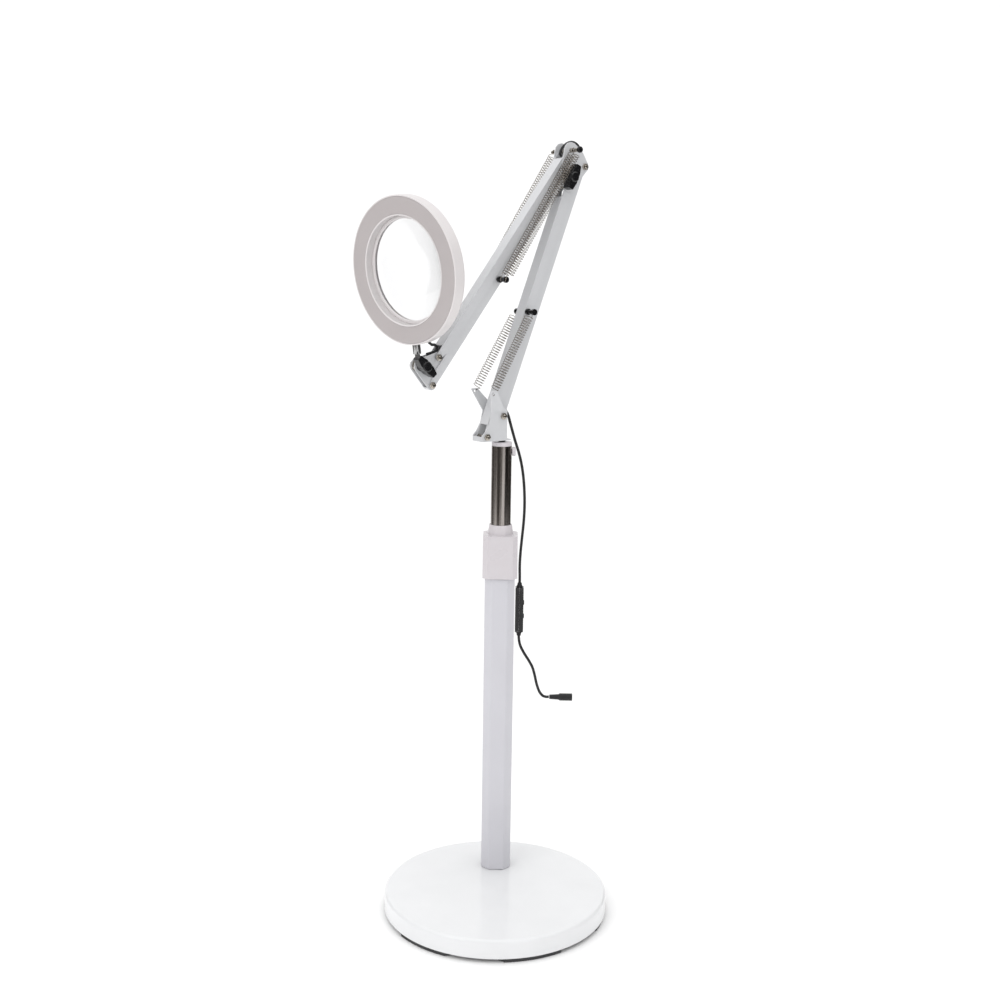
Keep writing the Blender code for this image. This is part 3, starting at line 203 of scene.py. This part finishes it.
def moulded(name, colour, roughness, grain=0.15, scale=900, spread=0.05):
    """Moulded plastic with a fine grain."""
    finish, shader = new_finish(name, colour, roughness)
    cloud = pattern(finish, 25, 3)
    dark = [c * (1 - spread) for c in colour]
    light = [c * (1 + spread / 2) for c in colour]
    vary_colour(finish, shader, cloud, dark, light)
    vary_roughness(finish, shader, cloud, roughness * 0.85, roughness * 1.15)
    raise_grain(finish, shader, pattern(finish, scale, 2), grain, 0.0001)
    return finish


def brushed(name, dark, light, roughness, stretch, scale=60, anisotropy=0.5):
    """Metal with fine brush lines that run along one axis; on the tube its strong dark and light colour
    streaks are also painted reflections.
    """
    finish, shader = new_finish(name, light, roughness, 1.0)
    shader.inputs["Anisotropic"].default_value = anisotropy
    lines = pattern(finish, scale, 5, stretch)
    vary_colour(finish, shader, lines, dark, light)
    vary_roughness(finish, shader, lines, roughness * 0.7, roughness * 1.4)
    raise_grain(finish, shader, lines, 0.06, 0.0001)
    return finish


def lens_glass():
    finish, shader = new_finish("lens_glass", (0.985, 0.985, 0.99), 0.0)
    shader.inputs["Transmission Weight"].default_value = 1.0
    shader.inputs["IOR"].default_value = 1.5
    smear = pattern(finish, 30, 3)
    vary_roughness(finish, shader, smear, 0.0, 0.012)
    return finish


def woven_rubber(name, colour):
    """Soft cord sheath with a dull sheen."""
    finish, shader = new_finish(name, colour, 0.5)
    shader.inputs["Sheen Weight"].default_value = 0.04
    raise_grain(finish, shader, pattern(finish, 700, 3), 0.2, 0.0001)
    vary_roughness(finish, shader, pattern(finish, 90, 3), 0.42, 0.62)
    return finish


BASE_PAINT = paint("base_paint", (0.73, 0.735, 0.745), 0.22)
POLE_PAINT = paint("pole_paint", (0.54, 0.535, 0.570), 0.30)
ARM_PAINT = paint("arm_paint", (0.55, 0.555, 0.57), 0.32)
RING_PLASTIC = moulded("ring_plastic", (0.65, 0.62, 0.62), 0.30, 0.05, spread=0.012)
COLLAR_PLASTIC = moulded("collar_plastic", (0.565, 0.535, 0.555), 0.28, 0.06, spread=0.012)
FACE_PLASTIC = moulded("face_plastic", (0.415, 0.382, 0.382), 0.40, 0.04, spread=0.012)
BLACK_PLASTIC = moulded("black_plastic", (0.006, 0.006, 0.007), 0.24, 0.20)
CORD_SHEATH = woven_rubber("cord_sheath", (0.008, 0.008, 0.009))
MAT_RUBBER = woven_rubber("mat_rubber", (0.025, 0.025, 0.027))
# The tube's dark and light colour streaks along its length are painted reflections, laid over its real brush
# lines.
TUBE_STEEL_WITH_PAINTED_REFLECTIONS = brushed("tube_steel_painted_reflections", (0.10, 0.088, 0.080), (0.52, 0.48, 0.455), 0.17, (9, 9, 0.12), 40)
STEM_STEEL = brushed("stem_steel", (0.34, 0.34, 0.34), (0.58, 0.58, 0.58), 0.20, (9, 9, 0.3))
SCREW_STEEL = brushed("screw_steel", (0.34, 0.31, 0.27), (0.60, 0.56, 0.50), 0.24, (6, 6, 6))
SPRING_STEEL = brushed("spring_steel", (0.16, 0.14, 0.12), (0.38, 0.34, 0.30), 0.22, (6, 6, 6))
CAST_IRON = moulded("cast_iron_finish", (0.10, 0.10, 0.105), 0.65, 0.8, 300)
LENS_GLASS = lens_glass()


# Making pieces

def make_active(piece):
    bpy.ops.object.select_all(action="DESELECT")
    piece.select_set(True)
    bpy.context.view_layer.objects.active = piece


def apply_modifier(piece, kind, **settings):
    make_active(piece)
    step = piece.modifiers.new(kind.title(), kind)
    for key, value in settings.items():
        setattr(step, key, value)
    bpy.ops.object.modifier_apply(modifier=step.name)


def soften_edges(piece, width, segments=2, angle=30):
    apply_modifier(piece, "BEVEL", width=width, segments=segments, limit_method="ANGLE",
                   angle_limit=math.radians(angle), use_clamp_overlap=True)


def smooth_shade(piece, angle=35):
    make_active(piece)
    bpy.ops.object.shade_smooth_by_angle(angle=math.radians(angle))


def dress(piece, finish, slot, *nodes, body=None):
    """Give a finished piece its material and let it stand for its CAD nodes."""
    piece.data.materials.clear()
    piece.data.materials.append(finish)
    if nodes:
        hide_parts(*nodes)
    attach(piece, body or BODY_OF[nodes[0]])
    return piece


def refined(node, finish, slot, edge, segments=2, angle=30):
    """A merged copy of a CAD node with softened edges."""
    source = frame["nodes"][node]
    piece = bpy.data.objects.new(node + "_fine", source.data.copy())
    bpy.context.scene.collection.objects.link(piece)
    piece.data.materials.clear()
    make_active(piece)
    bpy.ops.object.mode_set(mode="EDIT")
    bpy.ops.mesh.select_all(action="SELECT")
    bpy.ops.mesh.remove_doubles(threshold=0.00001)
    bpy.ops.mesh.dissolve_limited(angle_limit=math.radians(1))
    bpy.ops.object.mode_set(mode="OBJECT")
    soften_edges(piece, edge, segments, angle)
    smooth_shade(piece)
    apply_modifier(piece, "WEIGHTED_NORMAL", keep_sharp=True)
    return dress(piece, finish, slot, node)


def frame_on(point, axis):
    turn = Vector(axis).normalized().to_track_quat("Z", "Y")
    return Matrix.Translation(Vector(point)) @ turn.to_matrix().to_4x4()


def turned(name, profile, point, axis, steps=96, edge=0.0):
    """Spin a closed profile of (radius, height) pairs round an axis."""
    mesh = bpy.data.meshes.new(name)
    points = [(radius, 0, height) for radius, height in profile]
    mesh.from_pydata(points, [(i, (i + 1) % len(points)) for i in range(len(points))], [])
    piece = bpy.data.objects.new(name, mesh)
    bpy.context.scene.collection.objects.link(piece)
    make_active(piece)
    bpy.ops.object.mode_set(mode="EDIT")
    bpy.ops.mesh.select_all(action="SELECT")
    bpy.ops.mesh.spin(steps=steps, angle=2 * math.pi, center=(0, 0, 0), axis=(0, 0, 1))
    bpy.ops.mesh.select_all(action="SELECT")
    bpy.ops.mesh.remove_doubles(threshold=0.000001)
    bpy.ops.mesh.dissolve_degenerate(threshold=0.000001)
    bpy.ops.mesh.normals_make_consistent(inside=False)
    bpy.ops.object.mode_set(mode="OBJECT")
    if edge:
        soften_edges(piece, edge)
    mesh.transform(frame_on(point, axis))
    smooth_shade(piece)
    return piece


def arc(centre, radius, start, end, steps=8):
    """Points of a profile's rounded corner, angles in degrees from +radius towards +height."""
    points = []
    for step in range(steps + 1):
        angle = math.radians(start + (end - start) * step / steps)
        points.append((centre[0] + radius * math.cos(angle), centre[1] + radius * math.sin(angle)))
    return points


def solid_profile(*steps):
    points = [(0.0, steps[0][1])]
    for radius, low, high in steps:
        points += [(radius, low), (radius, high)]
    points.append((0.0, steps[-1][2]))
    return points


def joined(name, *parts):
    bpy.ops.object.select_all(action="DESELECT")
    for part in parts:
        part.select_set(True)
    bpy.context.view_layer.objects.active = parts[0]
    bpy.ops.object.join()
    parts[0].name = name
    return parts[0]


# Stand

def build_base():
    low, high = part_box("base_cover")
    centre = (low + high) / 2
    centre.z = 0
    radius = (high.x - low.x) / 2
    rounding = 0.0045
    wall = 0.002
    profile = [(0.0, high.z), (0.0, high.z - wall), (radius - wall, high.z - wall), (radius - wall, low.z),
               (radius - wall / 2, low.z), (radius, low.z + wall / 2)]
    profile += arc((radius - rounding, high.z - rounding), rounding, 0, 90, 8)
    cover = turned("base_cover_fine", profile, centre, Z_AXIS, 160)
    dress(cover, BASE_PAINT, "white_paint", "base_cover")
    refined("anti_slip_mat", MAT_RUBBER, "rubber", 0.0006)


def build_pole():
    refined("pole", POLE_PAINT, "white_paint", 0.0016, 4, 20)
    refined("lock_collar", COLLAR_PLASTIC, "grey_plastic", 0.0009, 3, 20)


def build_tube():
    low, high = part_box("inner_tube")
    radius = (high.x - low.x) / 2
    wall = 0.0012
    tube = turned("inner_tube_fine", [(radius - wall, low.z), (radius, low.z), (radius, high.z),
                                      (radius - wall, high.z)], (0, 0, 0), Z_AXIS, 128)
    dress(tube, TUBE_STEEL_WITH_PAINTED_REFLECTIONS, "chrome", "inner_tube")
    low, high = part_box("tube_cap")
    rim = 0.0012
    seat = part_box("inner_tube")[1].z + 0.0003
    hole = 0.0043
    profile = [(hole, low.z), (radius - wall - 0.0003, low.z), (radius - wall - 0.0003, seat), (radius, seat)]
    profile += arc((radius - rim, high.z - rim), rim, 0, 90, 5) + [(hole, high.z)]
    cap = turned("tube_cap_fine", profile, (0, 0, 0), Z_AXIS, 96)
    dress(cap, COLLAR_PLASTIC, "white_plastic", "tube_cap")
    refined("tube_lock_screw", COLLAR_PLASTIC, "grey_plastic", 0.0005)


# Arm

def build_bars():
    for node in ("lower_front_bar", "lower_rear_bar", "upper_front_bar", "upper_rear_bar"):
        refined(node, ARM_PAINT, "white_paint", 0.00045, 2, 25)
    for node in ("base_bracket", "elbow_plate_near", "elbow_plate_far", "head_bracket"):
        refined(node, ARM_PAINT, "white_paint", 0.00035, 2, 25)


def nutted_bolt(node):
    """A bolt across the arm: a hex nut with the bolt's end on the near side, a flat head on the far side."""
    low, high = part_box(node)
    centre = middle(node)
    centre.y = 0
    nut_radius = 0.0043
    near = low.y + 0.0026
    profile = solid_profile((nut_radius, near - 0.0026, near))
    nut = turned(node + "_nut", profile, centre, Y_AXIS, 6, 0.00035)
    radius = 0.0023
    head = 0.0038
    head_start = high.y - 0.0012
    shank = [(0.0, near - 0.0040), (0.0016, near - 0.0040), (radius, near - 0.0033), (radius, head_start)]
    shank += [(head, head_start), (head, high.y - 0.0004), (0.0030, high.y), (0.0, high.y)]
    bolt = turned(node + "_bolt", shank, centre, Y_AXIS, 32)
    dress(joined(node + "_fine", bolt, nut), SCREW_STEEL, "steel", node)


def build_screws():
    for node in ("lower_front_screw", "lower_rear_screw", "elbow_front_screw", "elbow_rear_screw",
                 "head_front_screw", "head_rear_screw"):
        nutted_bolt(node)
    for node in ("elbow_knob_bolt", "elbow_spring_post", "head_pivot_bolt", "lower_spring_pin",
                 "upper_spring_pin", "knuckle"):
        refined(node, SCREW_STEEL, "steel", 0.0003)


def build_black_parts():
    for node in ("elbow_knob", "head_knob"):
        refined(node, BLACK_PLASTIC, "black_plastic", 0.0008, 3, 25)
    small = ("elbow_post_cap", "lower_spring_near_spool", "lower_spring_far_cap", "upper_spring_near_spool",
             "upper_spring_far_cap", "swivel_pin")
    for node in small:
        refined(node, BLACK_PLASTIC, "black_plastic", 0.0005)


# Springs

LOWER_COIL_RADIUS = 0.0052
UPPER_COIL_RADIUS = 0.0044
WIRE_RADIUS = 0.00042
LOWER_SPRING_SIDES = (0.0168, 0.0149)
WING_TIP = (-0.0284, 0, 0.6515)
WING_SPREAD = 0.0200
COIL_START = 0.0068
COIL_PITCH = 0.0033
HOOK_RADIUS = 0.0029
POINTS_PER_TURN = 14


def spring_route(start, end, radius):
    """A hook round one pin, the coils, and a hook round the other."""
    along = (end - start).normalized()
    length = (end - start).length
    across = along.cross(Y_AXIS).normalized()
    aside = along.cross(across).normalized()
    coils = round((length - 2 * COIL_START) / COIL_PITCH)
    coil_length = length - 2 * COIL_START
    steps = 10
    route = []
    for step in range(steps):
        angle = math.radians(140 - 140 * step / steps)
        route.append(start + (along * math.cos(math.pi - angle) + across * math.sin(angle)) * HOOK_RADIUS)
    for step in range(coils * POINTS_PER_TURN + 1):
        share = step / (coils * POINTS_PER_TURN)
        angle = 2 * math.pi * step / POINTS_PER_TURN
        spot = start + along * (COIL_START + coil_length * share)
        route.append(spot + (across * math.cos(angle) + aside * math.sin(angle)) * radius)
    for step in range(steps):
        angle = math.radians(140 * (step + 1) / steps)
        route.append(end + (-along * math.cos(angle) + across * math.sin(angle)) * HOOK_RADIUS)
    return route


def wire_mesh(name, route, radius):
    curve = bpy.data.curves.new(name, "CURVE")
    curve.dimensions = "3D"
    curve.bevel_depth = radius
    curve.bevel_resolution = 1
    curve.use_fill_caps = True
    spline = curve.splines.new("POLY")
    spline.points.add(len(route) - 1)
    for point, place in zip(spline.points, route):
        point.co = (*place, 1.0)
    wire = bpy.data.objects.new(name, curve)
    bpy.context.scene.collection.objects.link(wire)
    make_active(wire)
    bpy.ops.object.convert(target="MESH")
    return bpy.context.view_layer.objects.active


def build_spring(node, pin, anchor, radius):
    spring = wire_mesh(node + "_coils", spring_route(pin, anchor, radius), WIRE_RADIUS)
    bpy.ops.object.shade_smooth()
    spring.data.materials.clear()
    spring.data.materials.append(SPRING_STEEL)
    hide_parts(node)
    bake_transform(spring)


def build_springs():
    low_pin = middle("lower_spring_pin")
    high_pin = middle("upper_spring_pin")
    post = middle("elbow_spring_post")
    wing = Vector(WING_TIP)
    sides = (("lower_near_spring", -LOWER_SPRING_SIDES[0], -WING_SPREAD),
             ("lower_far_spring", LOWER_SPRING_SIDES[1], WING_SPREAD))
    for node, side, spread in sides:
        pin = Vector((low_pin.x, side, low_pin.z))
        build_spring(node, pin, wing + Y_AXIS * spread, LOWER_COIL_RADIUS)
    for node in ("upper_inner_spring", "upper_outer_spring", "upper_far_spring"):
        side = middle(node).y
        pin = Vector((high_pin.x, side, high_pin.z))
        build_spring(node, pin, Vector((post.x, side, post.z)), UPPER_COIL_RADIUS)


# Head

def build_ring():
    outer = RING_RADIUS
    wall = RING_WALL
    opening = OPENING_RADIUS
    lip = LENS_LIP
    rounding = 0.0060
    back = RING_DEPTH
    edge = 0.0007
    profile = [(outer - wall, 0.0)] + arc((outer - edge, edge), edge, -90, 0, 4)
    profile += arc((outer - rounding, back - rounding), rounding, 0, 90, 10)
    profile += arc((lip + edge, back - edge), edge, 90, 180, 4)
    profile += [(lip, back - LIP_THICKNESS), (opening, back - LIP_THICKNESS)]
    profile += arc((opening + edge, edge), edge, 180, 270, 4)
    profile += [(opening + wall, 0.0), (opening + wall, back - wall), (outer - rounding, back - wall),
                (outer - wall, back - rounding)]
    ring = turned("ring_housing_fine", profile, RING_FACE, RING_BACK, 160)
    dress(ring, RING_PLASTIC, "white_plastic", "ring_housing")
    inner = opening + wall + GAP
    outside = outer - wall - GAP
    thickness = 0.0020
    slope = 0.004
    dish = 0.0004
    face = [(inner, thickness), (outside, thickness), (outside, 0.0), (outside - slope, -dish),
            (inner + slope, -dish), (inner, 0.0)]
    cover = turned("light_diffuser_fine", face, RING_FACE, RING_BACK, 160)
    dress(cover, FACE_PLASTIC, "diffuser_plastic", "light_diffuser")


def build_lens():
    rim = 0.0627
    curve = 0.346
    edge = 0.0029
    bulge_at_lip = math.sqrt(curve ** 2 - LENS_LIP ** 2) - math.sqrt(curve ** 2 - rim ** 2)
    front = RING_DEPTH - LIP_THICKNESS - GAP - edge - bulge_at_lip
    steps = 24
    face = []
    rear = []
    for step in range(steps + 1):
        radius = rim * step / steps
        bulge = math.sqrt(curve ** 2 - radius ** 2) - math.sqrt(curve ** 2 - rim ** 2)
        face.append((radius, front - bulge))
        rear.append((radius, front + edge + bulge))
    lens = turned("lens_fine", face + rear[::-1], RING_FACE, RING_BACK, 128)
    dress(lens, LENS_GLASS, "lens_glass", "lens")
    back = front - bulge_at_lip - GAP
    thick = 0.0022
    chamfer = 0.0010
    profile = [(LENS_LIP, back), (LENS_LIP, back - thick * 0.6), (LENS_LIP + chamfer, back - thick),
               (rim, back - thick), (rim, back)]
    keeper = turned("lens_retainer_fine", profile, RING_FACE, RING_BACK, 128)
    dress(keeper, RING_PLASTIC, "white_plastic", "lens_retainer")


def build_stem():
    start = 0.0140
    top = STEM_TO_CENTRE - RING_RADIUS - 2 * GAP
    neck = 0.0031
    edge = 0.0006
    outside = 0.0042
    tail = 0.0014
    tail_start = 0.0045
    tail_end = 0.0115
    spigot = 0.0030
    profile = [(0.0, tail_start), (tail, tail_start), (tail, tail_end), (neck, tail_end), (neck, start)]
    profile += arc((outside, start + edge), edge, -90, 0, 3)
    profile += [(outside + edge, top), (neck, top), (neck, top + spigot), (0.0, top + spigot)]
    stem = turned("head_stem_fine", profile, HEAD_AXIS, STEM_UP, 64)
    dress(stem, STEM_STEEL, "chrome", "head_stem")


# Cord and controller

def smooth_route(points, step=0.004):
    """Evenly spaced points on a smooth curve through a route's own points."""
    ends = [2 * points[0] - points[1]] + list(points) + [2 * points[-1] - points[-2]]
    fine = []
    for before, start, finish, after in zip(ends, ends[1:], ends[2:], ends[3:]):
        for index in range(20):
            t = index / 20
            fine.append(0.5 * (2 * start + (finish - before) * t
                               + (2 * before - 5 * start + 4 * finish - after) * t ** 2
                               + (3 * start - before - 3 * finish + after) * t ** 3))
    fine.append(points[-1])
    travelled = [0.0]
    for first, second in zip(fine, fine[1:]):
        travelled.append(travelled[-1] + (second - first).length)
    count = max(2, round(travelled[-1] / step))
    route = []
    index = 0
    for number in range(count + 1):
        wanted = travelled[-1] * number / count
        while index < len(fine) - 2 and travelled[index + 1] < wanted:
            index += 1
        share = (wanted - travelled[index]) / (travelled[index + 1] - travelled[index])
        route.append(fine[index].lerp(fine[index + 1], min(share, 1.0)))
    return route, travelled[-1]


def cord_curve(name, points, node):
    route, length = smooth_route([Vector(point) for point in points])
    curve = bpy.data.curves.new(name, "CURVE")
    curve.dimensions = "3D"
    curve.bevel_depth = CORD_DIAMETER / 2
    curve.bevel_resolution = 5
    curve.use_fill_caps = True
    spline = curve.splines.new("POLY")
    spline.points.add(len(route) - 1)
    spline.use_smooth = True
    for point, place in zip(spline.points, route):
        point.co = (*place, 1.0)
    curve.materials.append(CORD_SHEATH)
    piece = bpy.data.objects.new(name, curve)
    bpy.context.scene.collection.objects.link(piece)
    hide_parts(node)
    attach(piece, BODY_OF[node])
    return piece, length


def strain_relief(name, point, axis, length):
    """Two steps that narrow from a housing to the cord."""
    bore = 0.0019
    collar = 0.0036
    sleeve = 0.0030
    profile = [(bore, 0.0), (0.0042, 0.0), (collar, length * 0.3), (collar, length * 0.4),
               (sleeve, length * 0.5), (sleeve, length * 0.7), (0.0024, length), (bore, length)]
    relief = turned(name, profile, point, axis, 32, 0.0002)
    dress(relief, CORD_SHEATH, "rubber", body="swivel")
    return relief


def build_cord():
    upper, upper_length = cord_curve("upper_cord_fine", UPPER_CORD, "upper_cord")
    lower, lower_length = cord_curve("lower_cord_fine", LOWER_CORD, "lower_cord")
    top = Vector(UPPER_CORD[-1])
    bottom = Vector(LOWER_CORD[0])
    reliefs = [strain_relief("upper_relief", top - Z_AXIS * 0.0005, Z_AXIS, 0.006),
               strain_relief("lower_relief", bottom + Z_AXIS * 0.0005, -Z_AXIS, 0.006)]
    shells = [refined("controller_front", BLACK_PLASTIC, "black_plastic", 0.0012, 3, 25),
              refined("controller_rear", BLACK_PLASTIC, "black_plastic", 0.0012, 3, 25)]
    keys = [refined("power_button", BLACK_PLASTIC, "grey_plastic", 0.0004),
            refined("dimmer_button", BLACK_PLASTIC, "grey_plastic", 0.0004)]
    socket = refined("dc_socket", CORD_SHEATH, "rubber", 0.0005, 3, 25)


def build_leads():
    for node in ("elbow_lead", "head_lead"):
        frame["nodes"][node].data.materials.clear()
        frame["nodes"][node].data.materials.append(CORD_SHEATH)


def finish_hidden_nodes():
    finishes = (("base_weight", CAST_IRON), ("pole_bolt", SCREW_STEEL), ("pole_foot_plug", BLACK_PLASTIC),
                ("pole_bush", BLACK_PLASTIC), ("led_board", RING_PLASTIC))
    for node, finish in finishes:
        frame["nodes"][node].data.materials.clear()
        frame["nodes"][node].data.materials.append(finish)


# Studio

def add_area_light(name, place, target, size, power, colour=(1, 1, 1)):
    data = bpy.data.lights.new(name, "AREA")
    data.shape = "RECTANGLE"
    data.size, data.size_y = size
    data.energy = power
    data.color = colour
    light = bpy.data.objects.new(name, data)
    light.location = place
    light.rotation_euler = (Vector(target) - Vector(place)).to_track_quat("-Z", "Y").to_euler()
    bpy.context.scene.collection.objects.link(light)


def studio_card(name, angle, width, glow):
    """A tall panel beside the camera that only shiny surfaces see, angle in degrees right of the camera."""
    bpy.ops.object.select_all(action="DESELECT")
    bpy.ops.mesh.primitive_plane_add(size=1)
    card = bpy.context.object
    card.name = name
    turn = math.radians(angle)
    middle_height = Z_AXIS * 0.55
    centre = (SIDEWAYS * math.sin(turn) - AWAY * math.cos(turn)) * 2.2 + middle_height
    facing = (centre - middle_height).to_track_quat("Z", "Y").to_matrix().to_4x4()
    card.data.transform(Matrix.Translation(centre) @ facing @ Matrix.Diagonal((width, 3.4, 1, 1)))
    finish, shader = new_finish(name, (0.02, 0.02, 0.02), 1.0)
    shader.inputs["Emission Color"].default_value = (1.0, 0.93, 0.86, 1.0)
    shader.inputs["Emission Strength"].default_value = glow
    card.data.materials.append(finish)
    card.visible_camera = False
    card.visible_diffuse = False
    card.visible_shadow = False
    card.visible_transmission = False


def build_sweep():
    """A seamless floor that curves up into a wall behind the lamp."""
    radius = 2.0
    wall_at = 5.0
    profile = [(-9.0, 0.0), (wall_at - radius, 0.0)]
    for step in range(1, 25):
        angle = math.radians(90 * step / 24)
        profile.append((wall_at - radius + radius * math.sin(angle), radius - radius * math.cos(angle)))
    profile.append((wall_at, 9.0))
    points = []
    for side in (-9.0, 9.0):
        points += [AWAY * away + SIDEWAYS * side + Z_AXIS * (height - 0.0004) for away, height in profile]
    count = len(profile)
    faces = [(i, i + count, i + count + 1, i + 1) for i in range(count - 1)]
    mesh = bpy.data.meshes.new("studio_sweep")
    mesh.from_pydata(points, [], faces)
    sweep = bpy.data.objects.new("studio_sweep", mesh)
    bpy.context.scene.collection.objects.link(sweep)
    make_active(sweep)
    bpy.ops.object.shade_smooth()
    mesh.materials.append(new_finish("studio_sweep", (0.95, 0.95, 0.95), 0.9)[0])


def build_studio():
    build_sweep()
    world = bpy.data.worlds.new("studio")
    world.use_nodes = True
    sky = world.node_tree.nodes["Background"]
    sky.inputs["Color"].default_value = (1, 1, 1, 1)
    sky.inputs["Strength"].default_value = 1.12
    bpy.context.scene.world = world
    aim = Vector((0, 0, 0.5))
    key = aim - AWAY * 1.8 - SIDEWAYS * 1.6 + Z_AXIS * 1.3
    add_area_light("key", key, aim, (1.2, 1.6), 12)
    top = aim + Z_AXIS * 1.9 - AWAY * 0.2
    add_area_light("top", top, aim, (1.6, 1.6), 3)
    studio_card("front_card", -28, 3.4, 0.15)
    studio_card("left_card", -103, 3.4, 0.10)
    studio_card("right_card", 67, 2.3, 0.04)
    studio_card("far_right_card", 122, 2.3, 0.06)
    bpy.context.scene.view_settings.view_transform = "Standard"


add_camera()
build_cord()
build_leads()
build_base()
build_pole()
build_tube()
build_bars()
build_screws()
build_black_parts()
build_springs()
build_ring()
build_lens()
build_stem()
finish_hidden_nodes()
build_studio()
